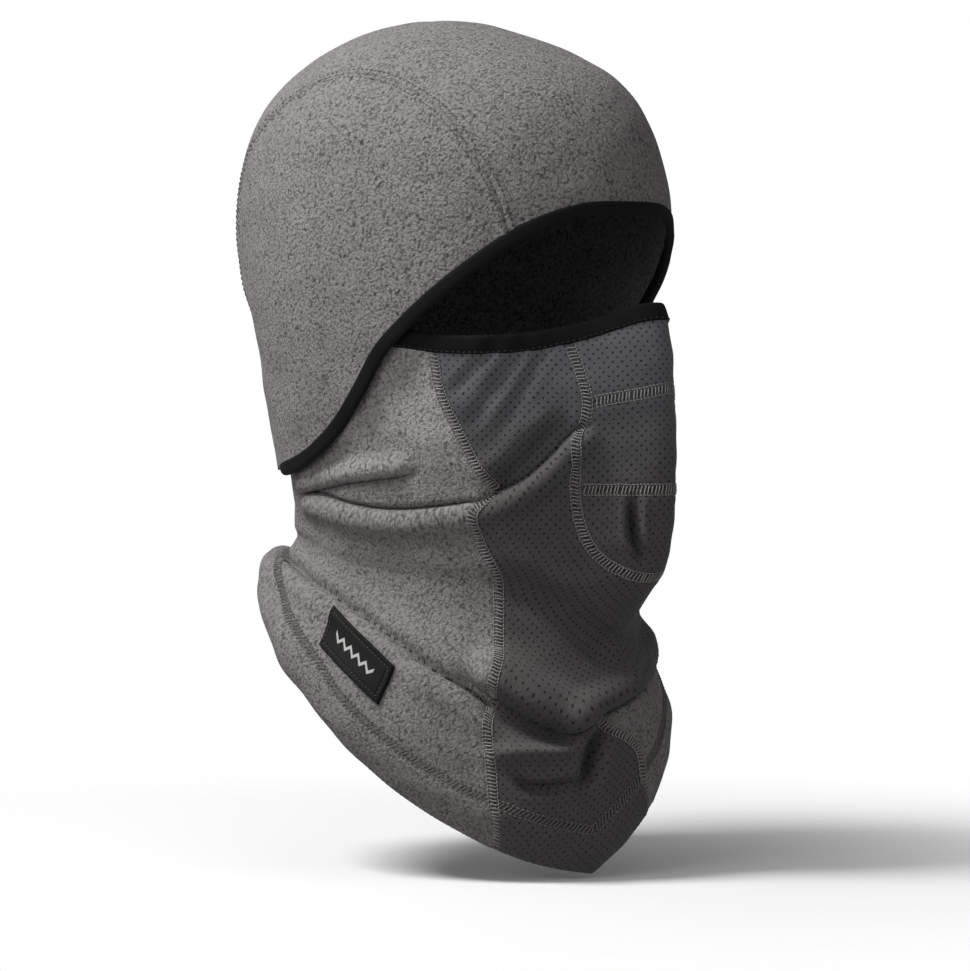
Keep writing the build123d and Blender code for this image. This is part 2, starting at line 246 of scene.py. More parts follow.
def hem_height(rise=0.0):
    """The hem's height, or that of a line parallel to it and above it."""
    line = moved(smooth(HEM_EDGE), rise)
    lift = LIFT_AT_MIDDLE + rise * math.hypot(1, LIFT_SLOPE)
    return lambda p: np.maximum(np.interp(p[..., 1], line[:, 0], line[:, 1]), lift + LIFT_SLOPE * p[..., 0])


mask_height = height_function(MASK_EDGE, MASK_NAPE)
hood_height = height_function(HOOD_EDGE, HOOD_NAPE)


def chart_of_front(points):
    """Turn and row on the front of the neck surface of points given in the front view."""
    points = np.asarray(points, float)
    s = np.linspace(0, len(NECK_ROWS) - 1, 900)
    padded = np.vstack([2 * NECK_ROWS[0] - NECK_ROWS[1], NECK_ROWS, 2 * NECK_ROWS[-1] - NECK_ROWS[-2]])
    half = between_rows(padded, s, len(NECK_ROWS))[:, 2]
    turn = np.arcsin(np.clip(points[:, :1] / half[None, :], -1, 1))
    z = worn(NECK_ROWS, turn, np.broadcast_to(s, turn.shape))[..., 2]
    row = first_crossing(z - points[:, 1:], s)
    return np.stack([np.arcsin(np.clip(points[:, 0] / np.interp(row, s, half), -1, 1)), row], axis=1)


def chart_at_height(turn, z):
    """Turn and row on the neck surface at a height."""
    turn = np.atleast_1d(np.asarray(turn, float))
    target = np.atleast_1d(np.asarray(z, float))
    s = np.linspace(0, len(NECK_ROWS) - 1, 900)
    p = worn(NECK_ROWS, turn[:, None], s[None, :])
    return np.stack([turn, first_crossing(p[..., 2] - target[:, None], s)], axis=1)


def cut_to(line, top, bottom):
    """The part of a chart line between two edges given as functions of the turn, ends included."""
    def gap(q):
        return np.minimum(q[:, 1] - top(q[:, 0]), bottom(q[:, 0]) - q[:, 1])
    inside = gap(line) > 0
    first, last = np.argmax(inside), len(line) - 1 - np.argmax(inside[::-1])
    kept = [line[first:last + 1]]
    if first > 0:
        g = gap(line[first - 1:first + 1])
        kept.insert(0, (line[first - 1] + (line[first] - line[first - 1]) * (-g[0] / (g[1] - g[0])))[None])
    if last < len(line) - 1:
        g = gap(line[last:last + 2])
        kept.append((line[last] + (line[last + 1] - line[last]) * (g[0] / (g[0] - g[1])))[None])
    return np.vstack(kept)


# Sculpting

def waves(p, length, height, seed):
    """A smooth uneven field: a sum of plane waves in fixed random directions."""
    random = np.random.default_rng(seed)
    total = np.zeros(p.shape[:-1])
    for _ in range(9):
        direction = unit(random.normal(size=3))
        total += np.sin(p @ direction * (2 * np.pi / (length * random.uniform(0.7, 1.5))) + random.uniform(0, 6.3))
    return total * height / 3


FOLD_STEP = 2.5
FOLD_FADE = 16.0


def bell(d):
    return np.exp(-d ** 2)


class Fold:
    """One fold: a line along the smooth surface and the shape across it."""

    def __init__(self, points, kind, depth, width):
        line = smooth(points, 8)
        chart = chart_at_height(np.radians(line[:, 0]), line[:, 1])
        self.line = resampled(worn(NECK_ROWS, chart[:, 0], chart[:, 1]), FOLD_STEP)
        self.kind, self.depth, self.width = kind, depth, width

    def shift(self, p, normal):
        a, b = self.line[:-1], self.line[1:]
        step = b - a
        near = np.where(np.min(np.abs(p[:, 2:] - self.line[None, ::4, 2]), axis=1) < 4 * self.width + 12)[0]
        out = np.zeros_like(p)
        if not len(near):
            return out
        q, n = p[near], normal[near]
        share = np.clip(((q[:, None] - a) * step).sum(-1) / (step ** 2).sum(-1), 0, 1)
        foot = a + share[..., None] * step
        nearest = np.argmin(((q[:, None] - foot) ** 2).sum(-1), axis=1)
        k = np.arange(len(q))
        along = (nearest + share[k, nearest]) * FOLD_STEP
        length = len(step) * FOLD_STEP
        side = unit(np.cross(n, unit(step)[nearest]))
        across = ((q - foot[k, nearest]) * side).sum(-1)
        beyond = np.linalg.norm(q - foot[k, nearest], axis=1)
        fade = np.clip(np.minimum(along, length - along) / min(FOLD_FADE, 0.4 * length), 0, 1)
        fade = fade * fade * (3 - 2 * fade) * (beyond < 6 * self.width)
        d = across / self.width
        if self.kind == "tuck":
            out_by = 0.9 * bell((d - 0.8) / 0.85) - 0.95 * bell((d + 0.25) / 0.42)
            slide = -0.75 * bell((d - 0.3) / 0.62)
        elif self.kind == "roll":
            out_by = 0.85 * bell((d - 0.85) / 0.75) - 1.1 * bell((d + 0.12) / 0.33) + 0.2 * bell((d + 1.4) / 0.8)
            slide = -0.4 * bell((d - 0.4) / 0.5)
        elif self.kind == "ridge":
            out_by, slide = bell(d), 0 * d
        else:
            out_by, slide = -bell(d) + 0.3 * bell((np.abs(d) - 1.6) / 0.8), 0 * d
        out[near] = (self.depth * fade)[:, None] * (n * out_by[:, None] + side * slide[:, None])
        return out


folds = [Fold(*f) for f in FOLDS]


def neck_base(turn, s):
    """Point and outward normal of the smooth neck surface."""
    p = worn(NECK_ROWS, turn, s)
    over = worn(NECK_ROWS, turn + 0.01, s) - p
    down = worn(NECK_ROWS, turn, s + 0.02) - p
    return p, unit(np.cross(down, over))


def neck_worn(turn, s):
    """Point of the neck surface with its folds."""
    p, n = neck_base(turn, s)
    row_length = np.linalg.norm(worn(NECK_ROWS, turn, s + 0.02) - p, axis=-1) / 0.02
    from_hem = (hem_row(turn) - s) * row_length
    turned = HEM_TURN * np.clip(1 - from_hem / HEM_DEPTH, 0, 1) ** 2
    q = p + n * (waves(p, 42, 0.8, 3) + waves(p, 17, 0.3, 4) - turned)[:, None]
    for fold in folds:
        q = q + fold.shift(p, n)
    return q


def neck_at(turn, s):
    """Point and outward normal of the neck surface with its folds."""
    turn, s = np.asarray(turn, float), np.asarray(s, float)
    q = neck_worn(turn, s)
    over = neck_worn(turn + 0.008, s) - q
    down = neck_worn(turn, s + 0.03) - q
    return q, unit(np.cross(down, over))


def hood_tree():
    """The smooth hood surface as a dense net for reading distances off."""
    turns = np.linspace(-np.pi, np.pi, 361)
    s = np.concatenate([np.linspace(0, 4, 90)[:-1], np.linspace(4, len(HOOD_ROWS) - 1, 150)])
    p = worn(HOOD_ROWS, turns[None, :], s[:, None]).reshape(-1, 3)
    wide = len(turns)
    faces = [(i * wide + j, i * wide + j + 1, (i + 1) * wide + j + 1, (i + 1) * wide + j)
             for i in range(len(s) - 1) for j in range(wide - 1)]
    return BVHTree.FromPolygons(p.tolist(), faces)


hood_net = hood_tree()


def hood_base(direction):
    """Point of the smooth hood surface in each direction from its centre."""
    origin = Vector(HOOD_CENTRE)
    hits = [hood_net.ray_cast(origin, Vector(d))[0] for d in direction.tolist()]
    return np.array([h if h is not None else origin for h in hits], float)


def hood_worn(direction):
    p = hood_base(direction)
    lower = np.clip((10 - p[:, 2]) / 60, 0, 1)
    return p + direction * (waves(p, 60, 0.7, 7) + waves(p, 20, 0.2, 8) + lower * waves(p, 26, 0.9, 9))[:, None]


def hood_at(direction):
    """Point and outward normal of the hood surface in each direction from its centre."""
    direction = unit(direction)
    p = hood_worn(direction)
    one = unit(np.cross(direction, [0.3, 0.2, 1.0]))
    two = np.cross(direction, one)
    e = 0.012
    n = unit(np.cross(hood_worn(unit(direction + e * one)) - p, hood_worn(unit(direction + e * two)) - p))
    return p, n * np.sign((n * direction).sum(-1))[:, None]


# Meshes

WORN = "worn_"               # put before a node's name in the name of the piece that stands for it


def mesh_object(name, points, faces, material, rest=None, uv=None, smooth_shade=True):
    """A mesh from points in millimetres, with its rest places and its pattern coordinates stored on it."""
    mesh = bpy.data.meshes.new(name)
    mesh.from_pydata((np.asarray(points) * MM).tolist(), [], [tuple(f) for f in faces])
    mesh.update()
    attribute = mesh.attributes.new("rest_mm", "FLOAT_VECTOR", "POINT")
    attribute.data.foreach_set("vector", np.asarray(points if rest is None else rest, np.float32).ravel())
    if uv is not None:
        layer = mesh.uv_layers.new(name="UVMap")
        corner = np.zeros(len(mesh.loops), np.int32)
        mesh.loops.foreach_get("vertex_index", corner)
        layer.data.foreach_set("uv", np.asarray(uv, np.float32)[corner].ravel())
    mesh.polygons.foreach_set("use_smooth", [smooth_shade] * len(mesh.polygons))
    obj = bpy.data.objects.new(WORN + name, mesh)
    bpy.context.scene.collection.objects.link(obj)
    mesh.materials.append(material)
    return obj


def inside(points, loop):
    """Which points lie inside a closed plane outline."""
    a, b = loop, np.roll(loop, -1, axis=0)
    result = np.zeros(len(points), bool)
    for (ax, ay), (bx, by) in zip(a, b):
        if ay == by:
            continue
        crosses = (points[:, 1] > ay) != (points[:, 1] > by)
        result ^= crosses & (points[:, 0] < (bx - ax) * (points[:, 1] - ay) / (by - ay) + ax)
    return result


def filled(loop, spacing):
    """A net of triangles that fills a closed outline in a flat chart: its points and its faces."""
    loop = loop[np.linalg.norm(loop - np.roll(loop, 1, axis=0), axis=1) > 0.05]
    low, high = loop.min(0), loop.max(0)
    rows = np.arange(low[1], high[1], spacing * 0.866)
    columns = np.arange(low[0], high[0], spacing)
    x, y = np.meshgrid(columns, rows)
    x = x + (np.arange(len(rows)) % 2)[:, None] * spacing / 2
    lattice = np.stack([x.ravel(), y.ravel()], axis=1)
    lattice = lattice[inside(lattice, loop)]
    tree = KDTree(len(loop))
    for i, p in enumerate(loop):
        tree.insert((p[0], p[1], 0), i)
    tree.balance()
    far = np.array([tree.find((p[0], p[1], 0))[2] > 0.62 * spacing for p in lattice], bool)
    points = np.vstack([loop, lattice[far]])
    edges = [(i, (i + 1) % len(loop)) for i in range(len(loop))]
    made = geometry.delaunay_2d_cdt([Vector(p) for p in points.tolist()], edges, [], 0, 1e-5)
    points, faces = np.array([tuple(p) for p in made[0]]), np.array([f for f in made[2] if len(f) == 3])
    middle = points[faces].mean(axis=1)
    return points, faces[inside(middle, loop)]


def outward(points, faces, normals):
    """The faces, turned where needed so that they face along the normals."""
    a, b, c = (points[faces[:, k]] for k in range(3))
    wrong = (np.cross(b - a, c - a) * normals[faces[:, 0]]).sum(-1) < 0
    faces[wrong] = faces[wrong][:, ::-1]
    return faces


def distance_to(points, lines, reach=60.0):
    """How far each point is from the nearest of several lines."""
    line = np.vstack([resampled(x, 0.8) for x in lines])
    tree = KDTree(len(line))
    for i, p in enumerate(line.tolist()):
        tree.insert(p, i)
    tree.balance()
    return np.array([min(tree.find(p)[2], reach) for p in points.tolist()])


def shell(name, points, faces, normals, thickness, material, rest=None, uv=None):
    """A sheet with its thickness: the outer face, the inner face behind it and the rim between them."""
    count = len(points)
    edges = np.vstack([faces[:, [0, 1]], faces[:, [1, 2]], faces[:, [2, 0]]])
    _, first, uses = np.unique(edges.min(1) * count + edges.max(1), return_index=True, return_counts=True)
    rim = edges[first[uses == 1]]
    rim = np.stack([rim[:, 1], rim[:, 0], rim[:, 0] + count, rim[:, 1] + count], axis=1)
    everything = faces.tolist() + (faces[:, ::-1] + count).tolist() + rim.tolist()
    both = np.vstack([points, points - normals * thickness])
    rest = points if rest is None else rest
    uv = np.vstack([uv, uv])
    return mesh_object(name, both, everything, material, rest=np.vstack([rest, rest]), uv=uv)


def strip(name, path, normals, half_width, section, material):
    """A band swept along a path; section gives its outline as shares of the half width and heights."""
    along = unit(np.gradient(path, axis=0))
    across = unit(np.cross(normals, along))
    run = np.arange(len(path)) * STRIP_STEP
    narrow = np.clip(np.minimum(run, run[-1] - run) / BINDING_TAPER, 0, 1)
    narrow = (BINDING_TIP + (1 - BINDING_TIP) * np.sin(narrow * np.pi / 2))[:, None, None]
    middle = section[:, 1].mean()
    height = (middle + (section[:, 1] - middle)[None, :, None] * narrow)
    ring = path[:, None] + across[:, None] * (section[:, 0] * half_width)[None, :, None] * narrow \
        + normals[:, None] * height
    count, sides = ring.shape[:2]
    faces = [(i * sides + j, i * sides + (j + 1) % sides, (i + 1) * sides + (j + 1) % sides, (i + 1) * sides + j)
             for i in range(count - 1) for j in range(sides)]
    faces += [tuple(range(sides))[::-1], tuple((count - 1) * sides + j for j in range(sides))]
    lengths = np.concatenate([[0], np.cumsum(np.linalg.norm(np.diff(path, axis=0), axis=1))])
    uv = np.stack([np.repeat(lengths, sides), np.tile(section[:, 0] * half_width, count)], axis=1)
    return mesh_object(name, ring.reshape(-1, 3), faces, material, uv=uv)


def tubes(lines, ups, radius, sides=5):
    """Round threads along many short lines of the same number of points: points and faces."""
    along = unit(np.gradient(lines, axis=1))
    side = unit(np.cross(ups, along))
    up = np.cross(along, side)
    turn = np.linspace(0, 2 * np.pi, sides, endpoint=False)
    thick = np.full(lines.shape[1], radius)
    thick[[0, -1]] *= 0.45
    ring = lines[:, :, None] + thick[None, :, None, None] * (
        np.cos(turn)[None, None, :, None] * side[:, :, None] + np.sin(turn)[None, None, :, None] * up[:, :, None])
    count, length = lines.shape[:2]
    base = (np.arange(count) * length * sides)[:, None, None]
    i, j = np.meshgrid(np.arange(length - 1), np.arange(sides), indexing="ij")
    k = (j + 1) % sides
    quads = np.stack([i * sides + j, (i + 1) * sides + j, (i + 1) * sides + k, i * sides + k], axis=-1)
    quads = (base[..., None] + quads[None]).reshape(-1, 4)
    caps = [tuple(b + np.arange(sides)) for b in base.ravel()]
    caps += [tuple(b + (length - 1) * sides + np.arange(sides)[::-1]) for b in base.ravel()]
    return ring.reshape(-1, 3), quads.tolist() + caps


class Threads:
    """Gathers many threads into one piece."""

    def __init__(self):
        self.points, self.faces, self.count = [], [], 0

    def add(self, lines, ups, radius, sides=5):
        points, faces = tubes(np.asarray(lines), np.asarray(ups), radius, sides)
        self.points.append(points)
        self.faces += [tuple(int(v) + self.count for v in f) for f in faces]
        self.count += len(points)

    def piece(self, name, material):
        return mesh_object(name, np.vstack(self.points), self.faces, material)


def along_path(path, normals, pitch):
    """Places every pitch along a path: points, normals and directions."""
    lengths = np.concatenate([[0], np.cumsum(np.linalg.norm(np.diff(path, axis=0), axis=1))])
    at = np.arange(pitch * 0.7, lengths[-1] - pitch * 0.5, pitch)
    def read(values):
        return np.stack([np.interp(at, lengths, values[:, k]) for k in range(3)], axis=1)
    p, n = read(path), unit(read(normals))
    t = unit(read(np.gradient(path, axis=0)))
    return p, n, t


def rungs(threads, path, normals, pitch, half, radius, lift, lean=0.35, seed=1):
    """The cross threads of a ladder seam, each a low arch over the seam."""
    p, n, t = along_path(path, normals, pitch)
    random = np.random.default_rng(seed)
    across = unit(np.cross(n, t))
    u = np.linspace(-1, 1, 7)
    wobble = random.normal(scale=0.09 * pitch, size=(len(p), 1))
    reach = half * (1 + random.normal(scale=0.05, size=(len(p), 1)))
    offset = u[None] * reach
    slant = u[None] * lean * pitch + wobble
    height = lift + 0.28 * (1 - u[None] ** 4) + 0 * wobble
    lines = p[:, None] + across[:, None] * offset[..., None] + t[:, None] * slant[..., None] \
        + n[:, None] * height[..., None]
    threads.add(lines, np.broadcast_to(n[:, None], lines.shape), radius)


def dashes(threads, path, normals, pitch, offset, share, radius, lift, seed=2):
    """A row of stitches beside a path, each a short arch along it."""
    p, n, t = along_path(path, normals, pitch)
    random = np.random.default_rng(seed)
    across = unit(np.cross(n, t))
    u = np.linspace(-1, 1, 5)
    wobble = random.normal(scale=0.05, size=(len(p), 1))
    height = lift + 0.22 * (1 - u[None] ** 2) + 0 * wobble
    lines = p[:, None] + across[:, None] * (offset + wobble)[..., None] \
        + t[:, None] * (u[None] * share * pitch / 2)[..., None] + n[:, None] * height[..., None]
    threads.add(lines, np.broadcast_to(n[:, None], lines.shape), radius)


def ladder(threads, path, normals, lift=0.0, pitch=1.55, half=SEAM_HALF, radius=0.3, seed=1):
    """A flatlock seam: close cross threads between two chained edges."""
    rungs(threads, path, normals, pitch, half, radius, lift, seed=seed)
    for side in (-1, 1):
        dashes(threads, path, normals, pitch, side * (half + 0.15), 0.86, radius * 0.85, lift + 0.05, seed=seed + side)


# Materials

def shader(name):
    material = bpy.data.materials.new(name)
    material.use_nodes = True
    tree = material.node_tree
    tree.nodes.clear()
    out = tree.nodes.new("ShaderNodeOutputMaterial")
    surface = tree.nodes.new("ShaderNodeBsdfPrincipled")
    tree.links.new(surface.outputs[0], out.inputs["Surface"])
    return material, tree, surface


def put(tree, kind, inputs=None, **settings):
    """Adds a node; an input given as a socket is linked, any other is set."""
    node = tree.nodes.new("ShaderNode" + kind)
    for key, value in settings.items():
        setattr(node, key, value)
    for key, value in (inputs or {}).items():
        if isinstance(value, bpy.types.NodeSocket):
            tree.links.new(value, node.inputs[key])
        else:
            node.inputs[key].default_value = value
    return node


def rest_place(tree):
    return put(tree, "Attribute", attribute_name="rest_mm").outputs["Vector"]


def noise(tree, where, scale, detail=3.0, rough=0.6):
    return put(tree, "TexNoise", {"Vector": where, "Scale": scale, "Detail": detail, "Roughness": rough}).outputs["Fac"]


def maths(tree, operation, a, b=0.5, clamp=False):
    return put(tree, "Math", {0: a, 1: b}, operation=operation, use_clamp=clamp).outputs[0]


def ramp(tree, value, stops):
    """A colour ramp; stops are (place, colour)."""
    node = put(tree, "ValToRGB", {0: value})
    points = node.color_ramp.elements
    while len(points) < len(stops):
        points.new(0.5)
    for point, (place, colour) in zip(points, stops):
        point.position = place
        point.color = (*colour, 1)
    return node.outputs[0]


def tint(tree, a, b, share):
    node = put(tree, "Mix", {0: share}, data_type="RGBA")
    for socket, value in ((node.inputs[6], a), (node.inputs[7], b)):
        if isinstance(value, bpy.types.NodeSocket):
            tree.links.new(value, socket)
        else:
            socket.default_value = (*value, 1)
    return node.outputs[2]


def scaled(colour, by):
    return tuple(c * by for c in colour)


def fleece(name, colour, contrast=1.0, cell=1.15, painted_light_from=None):
    """Brushed fleece: small curled tufts with painted shade in the gaps and painted highlight on their tops, over the
    fleece's own speckle, and where asked a painted lighter zone above a ramp between two heights.
    """
    material, tree, surface = shader(name)
    where = rest_place(tree)
    bend = put(tree, "TexNoise", {"Vector": where, "Scale": 0.42, "Detail": 2.0}).outputs["Color"]
    bent = put(tree, "VectorMath", {0: bend, 1: (2.4, 2.4, 2.4)}, operation="MULTIPLY").outputs[0]
    bent = put(tree, "VectorMath", {0: where, 1: bent}, operation="ADD").outputs[0]
    tufts = put(tree, "TexVoronoi", {"Vector": bent, "Scale": 1 / cell, "Randomness": 1.0}, feature="SMOOTH_F1")
    fine = noise(tree, bent, 1.1 / cell, 4.0, 0.72)
    curls = maths(tree, "SUBTRACT", 1.0, tufts.outputs["Distance"])
    relief = maths(tree, "ADD", maths(tree, "MULTIPLY", curls, 0.55), maths(tree, "MULTIPLY", fine, 0.75))
    broad = noise(tree, where, 0.035, 2.0)
    patchy = noise(tree, where, 0.16, 3.0)
    low, high = max(0.1, 1 - 0.72 * contrast), 1 + 0.75 * contrast
    # The colour ramp follows the tufts' relief: painted shade in the gaps between tufts and painted highlight on their
    # tops, over the fleece's own speckle.
    tuft_speckle_and_shade = ramp(tree, relief, [(0.47, scaled(colour, low)), (0.6, scaled(colour, 0.92)),
                                  (0.74, scaled(colour, high))])
    shade = tint(tree, tuft_speckle_and_shade, scaled(colour, 0.7), maths(tree, "MULTIPLY", broad, 0.35))
    shade = tint(tree, shade, scaled(colour, 1.35), maths(tree, "MULTIPLY", patchy, 0.22))
    # Painted light: above a ramp between two heights the colour is made up to 1.75 times lighter, standing in for light
    # falling on the upper part.
    if painted_light_from:
        z = put(tree, "SeparateXYZ", {0: where}).outputs["Z"]
        upper = put(tree, "MapRange", {"Value": z, "From Min": painted_light_from[0], "From Max": painted_light_from[1]}).outputs[0]
        pale = put(tree, "Mix", {0: upper, 6: shade, 7: (1.75, 1.75, 1.75, 1)}, data_type="RGBA", blend_type="MULTIPLY")
        shade = pale.outputs[2]
    tree.links.new(shade, surface.inputs["Base Color"])
    bump = put(tree, "Bump", {"Strength": 1.0, "Distance": 0.0016, "Height": relief})
    tree.links.new(bump.outputs[0], surface.inputs["Normal"])
    surface.inputs["Roughness"].default_value = 0.95
    surface.inputs["Specular IOR Level"].default_value = 0.1
    surface.inputs["Sheen Weight"].default_value = 0.12
    surface.inputs["Sheen Roughness"].default_value = 0.5
    return material


def perforated(name, colour, painted_reflection):
    """Smooth stretch knit with staggered rows of small holes, and a painted reflection: a bluish tint towards its top.
    """
    material, tree, surface = shader(name)
    where = rest_place(tree)
    flat = put(tree, "UVMap", uv_map="UVMap").outputs[0]
    drift = put(tree, "TexNoise", {"Vector": where, "Scale": 0.3, "Detail": 2.0}).outputs["Color"]
    drift = put(tree, "VectorMath", {0: drift, 1: (1.5, 1.5, 0)}, operation="MULTIPLY").outputs[0]
    flat = put(tree, "VectorMath", {0: flat, 1: drift}, operation="ADD").outputs[0]
    pitch = 3.9
    grid = put(tree, "VectorMath", {0: flat, 1: (1 / pitch, 1 / pitch, 0)}, operation="MULTIPLY").outputs[0]
    holes = None
    for offset in (0.0, 0.5):
        here = put(tree, "VectorMath", {0: grid, 1: (offset, offset, 0)}, operation="ADD").outputs[0]
        cell = put(tree, "VectorMath", {0: here}, operation="FRACTION").outputs[0]
        middle = put(tree, "VectorMath", {0: cell, 1: (0.5, 0.5, 0)}, operation="SUBTRACT").outputs[0]
        away = put(tree, "VectorMath", {0: middle}, operation="LENGTH").outputs["Value"]
        holes = away if holes is None else maths(tree, "MINIMUM", holes, away)
    hole = put(tree, "MapRange", {"Value": holes, "From Min": 0.155, "From Max": 0.085, "To Min": 0.0, "To Max": 1.0},
               interpolation_type="SMOOTHSTEP").outputs[0]
    knit = put(tree, "TexWave", {"Vector": flat, "Scale": 0.55, "Distortion": 1.2, "Detail": 2.0},
               bands_direction="X").outputs["Fac"]
    grain = noise(tree, where, 1.3, 3.0)
    broad = noise(tree, where, 0.05, 2.0)
    base = tint(tree, scaled(colour, 0.35), scaled(colour, 1.7), grain)
    base = tint(tree, base, scaled(colour, 0.75), maths(tree, "MULTIPLY", broad, 0.45))
    # Painted reflection: from -72 to -12 mm the knit takes on a bluish tint, up to three quarters, standing in for a
    # reflection near its top.
    height = put(tree, "SeparateXYZ", {0: where}).outputs["Z"]
    upper = put(tree, "MapRange", {"Value": height, "From Min": -72.0, "From Max": -12.0}).outputs[0]
    base = tint(tree, base, painted_reflection, maths(tree, "MULTIPLY", upper, 0.75))
    base = tint(tree, base, (0.006, 0.006, 0.006), maths(tree, "MULTIPLY", hole, 0.8))
    tree.links.new(base, surface.inputs["Base Color"])
    relief = maths(tree, "SUBTRACT", maths(tree, "ADD", maths(tree, "MULTIPLY", knit, 0.12),
                                           maths(tree, "MULTIPLY", grain, 0.35)), hole)
    bump = put(tree, "Bump", {"Strength": 0.5, "Distance": 0.0005, "Height": relief})
    tree.links.new(bump.outputs[0], surface.inputs["Normal"])
    surface.inputs["Roughness"].default_value = 0.8
    surface.inputs["Specular IOR Level"].default_value = 0.25
    surface.inputs["Sheen Weight"].default_value = 0.12
    surface.inputs["Sheen Roughness"].default_value = 0.45
    return material


def tape(name, colour):
    """Folded elastic binding with fine ribs across it."""
    material, tree, surface = shader(name)
    flat = put(tree, "UVMap", uv_map="UVMap").outputs[0]
    where = rest_place(tree)
    ribs = put(tree, "TexWave", {"Vector": flat, "Scale": 0.5, "Distortion": 0.6}, bands_direction="X").outputs["Fac"]
    grain = noise(tree, where, 1.5, 3.0)
    shade = tint(tree, scaled(colour, 0.7), scaled(colour, 1.5), grain)
    tree.links.new(shade, surface.inputs["Base Color"])
    relief = maths(tree, "ADD", maths(tree, "MULTIPLY", ribs, 0.3), maths(tree, "MULTIPLY", grain, 0.4))
    bump = put(tree, "Bump", {"Strength": 0.35, "Distance": 0.0004, "Height": relief})
    tree.links.new(bump.outputs[0], surface.inputs["Normal"])
    surface.inputs["Roughness"].default_value = 0.75
    surface.inputs["Specular IOR Level"].default_value = 0.12
    return material


def thread(name, colour, spread=0.35):
    """Twisted thread with slightly uneven colour."""
    material, tree, surface = shader(name)
    where = rest_place(tree)
    shade = tint(tree, scaled(colour, 1 - spread), scaled(colour, 1 + spread), noise(tree, where, 0.9, 3.0))
    tree.links.new(shade, surface.inputs["Base Color"])
    bump = put(tree, "Bump", {"Strength": 0.4, "Distance": 0.0002, "Height": noise(tree, where, 4.0, 2.0)})
    tree.links.new(bump.outputs[0], surface.inputs["Normal"])
    surface.inputs["Roughness"].default_value = 0.6
    surface.inputs["Specular IOR Level"].default_value = 0.3
    return material


def woven(name, colour, mark):
    """Satin-woven label with a plain pale zigzag across its middle."""
    material, tree, surface = shader(name)
    flat = put(tree, "UVMap", uv_map="UVMap").outputs[0]
    split = put(tree, "SeparateXYZ", {0: flat})
    u, v = split.outputs["X"], split.outputs["Y"]
    wave = maths(tree, "PINGPONG", u, 2.6)
    line = maths(tree, "ABSOLUTE", maths(tree, "SUBTRACT", v, maths(tree, "SUBTRACT", wave, 1.3)))
    zigzag = maths(tree, "LESS_THAN", line, 0.75)
    ends = maths(tree, "LESS_THAN", maths(tree, "ABSOLUTE", u), 13.0)
    mask = maths(tree, "MULTIPLY", zigzag, ends)
    weave = put(tree, "TexWave", {"Vector": flat, "Scale": 1.1, "Distortion": 0.2}, bands_direction="Y").outputs["Fac"]
    shade = tint(tree, scaled(colour, 0.75), scaled(colour, 1.5), weave)
    shade = tint(tree, shade, mark, mask)
    tree.links.new(shade, surface.inputs["Base Color"])
    relief = maths(tree, "ADD", maths(tree, "MULTIPLY", weave, 0.4), maths(tree, "MULTIPLY", mask, 0.5))
    bump = put(tree, "Bump", {"Strength": 0.4, "Distance": 0.0003, "Height": relief})
    tree.links.new(bump.outputs[0], surface.inputs["Normal"])
    surface.inputs["Roughness"].default_value = 0.62
    surface.inputs["Specular IOR Level"].default_value = 0.15
    return material


GREY = (0.185, 0.177, 0.172)
DARK = (0.084, 0.077, 0.076)
# The bluish colour of the knit's painted reflection near its top.
PAINTED_REFLECTION_BLUE = (0.15, 0.15, 0.168)
hood_fleece = fleece("hood_fleece", GREY, 1.2)
# The neck's fleece is a painted lighter copy of the hood's fleece, 1.05 times as light, with painted light towards its
# top from -78 to -40 mm.
neck_fleece = fleece("neck_fleece", scaled(GREY, 1.05), 1.0, painted_light_from=(-78.0, -40.0))
knit = perforated("perforated_knit", DARK, PAINTED_REFLECTION_BLUE)
mouth_knit = perforated("mouth_knit", scaled(DARK, 1.05), PAINTED_REFLECTION_BLUE)
binding = tape("elastic_binding", (0.0075, 0.0075, 0.0075))
pale_thread = thread("seam_thread", (0.3, 0.29, 0.28), 0.5)
grey_thread = thread("fleece_thread", (0.17, 0.164, 0.158), 0.45)
hood_thread = thread("hood_thread", (0.1, 0.096, 0.092), 0.4)
dark_thread = thread("binding_thread", (0.04, 0.038, 0.036))
label_cloth = woven("woven_label", (0.006, 0.006, 0.006), (0.5, 0.49, 0.47))
label_thread = thread("label_thread", (0.09, 0.07, 0.05))


# Lines on the neck surface, as turn and row

all_turns = np.linspace(-np.pi, np.pi, 721)
mask_rows = edge_row(NECK_ROWS, mask_height, all_turns)
hem_rows = edge_row(NECK_ROWS, hem_height(), all_turns)


def mask_row(turn):
    return np.interp(turn, all_turns, mask_rows)


def hem_row(turn):
    return np.interp(turn, all_turns, hem_rows)


def edge_line(row_of, start, end):
    """An edge of the neck fabric from one turn to another."""
    turns = np.linspace(start, end, max(3, int(abs(end - start) / 0.012)))
    return np.stack([turns, row_of(turns)], axis=1)


def neck_line(line, step):
    """A chart line resampled at an even real spacing."""
    real = worn(NECK_ROWS, line[:, 0], line[:, 1])
    along = np.concatenate([[0], np.cumsum(np.linalg.norm(np.diff(real, axis=0), axis=1))])
    at = np.linspace(0, along[-1], max(2, int(round(along[-1] / step)) + 1))
    return np.stack([np.interp(at, along, line[:, k]) for k in range(2)], axis=1)


def full_seam(points):
    """A seam of the neck surface from the mask edge down to the hem."""
    return cut_to(chart_of_front(smooth(points)), mask_row, hem_row)


